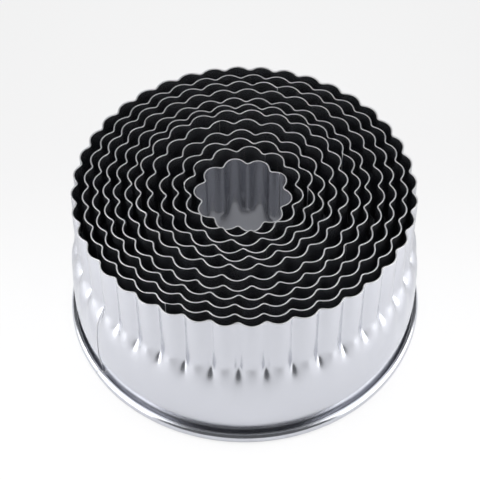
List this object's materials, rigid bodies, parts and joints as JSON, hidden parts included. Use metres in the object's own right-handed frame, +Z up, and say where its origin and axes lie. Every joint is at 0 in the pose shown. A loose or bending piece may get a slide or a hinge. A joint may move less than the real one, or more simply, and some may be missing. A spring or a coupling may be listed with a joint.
{
  "type": "nested fluted biscuit cutter set",
  "caption": "Nested set of round fluted steel cutters, open at both ends, each with a rolled foot; the smaller ones stand inside the larger ones, cutting edges up.",
  "frame": {"origin": "centre of the largest cutter, on the surface that the set stands on", "axes": "+Z up, through the cutting edges; the lapped joint of the largest cutter lies towards -X and -Y"},
  "size_m": [0.1086, 0.1086, 0.0526],
  "materials": {
    "polished_steel": "mirror-polished stainless sheet, faint rolling lines"
  },
  "bodies": {
    "cutter_01": {"fluted_cutter_01": "polished_steel"},
    "cutter_02": {"fluted_cutter_02": "polished_steel"},
    "cutter_03": {"fluted_cutter_03": "polished_steel"},
    "cutter_04": {"fluted_cutter_04": "polished_steel"},
    "cutter_05": {"fluted_cutter_05": "polished_steel"},
    "cutter_06": {"fluted_cutter_06": "polished_steel"},
    "cutter_07": {"fluted_cutter_07": "polished_steel"},
    "cutter_08": {"fluted_cutter_08": "polished_steel"},
    "cutter_09": {"fluted_cutter_09": "polished_steel"},
    "cutter_10": {"fluted_cutter_10": "polished_steel"},
    "cutter_11": {"fluted_cutter_11": "polished_steel"},
    "cutter_12": {"fluted_cutter_12": "polished_steel"}
  },
  "joints": [
    {"name": "lift_02", "type": "slide", "parent": "cutter_01", "child": "cutter_02", "axis": [0, 0, 1], "range_m": [0, 0.055]},
    {"name": "lift_03", "type": "slide", "parent": "cutter_02", "child": "cutter_03", "axis": [0, 0, 1], "range_m": [0, 0.055]},
    {"name": "lift_04", "type": "slide", "parent": "cutter_03", "child": "cutter_04", "axis": [0, 0, 1], "range_m": [0, 0.055]},
    {"name": "lift_05", "type": "slide", "parent": "cutter_04", "child": "cutter_05", "axis": [0, 0, 1], "range_m": [0, 0.055]},
    {"name": "lift_06", "type": "slide", "parent": "cutter_05", "child": "cutter_06", "axis": [0, 0, 1], "range_m": [0, 0.055]},
    {"name": "lift_07", "type": "slide", "parent": "cutter_06", "child": "cutter_07", "axis": [0, 0, 1], "range_m": [0, 0.055]},
    {"name": "lift_08", "type": "slide", "parent": "cutter_07", "child": "cutter_08", "axis": [0, 0, 1], "range_m": [0, 0.055]},
    {"name": "lift_09", "type": "slide", "parent": "cutter_08", "child": "cutter_09", "axis": [0, 0, 1], "range_m": [0, 0.055]},
    {"name": "lift_10", "type": "slide", "parent": "cutter_09", "child": "cutter_10", "axis": [0, 0, 1], "range_m": [0, 0.055]},
    {"name": "lift_11", "type": "slide", "parent": "cutter_10", "child": "cutter_11", "axis": [0, 0, 1], "range_m": [0, 0.055]},
    {"name": "lift_12", "type": "slide", "parent": "cutter_11", "child": "cutter_12", "axis": [0, 0, 1], "range_m": [0, 0.055]}
  ]
}
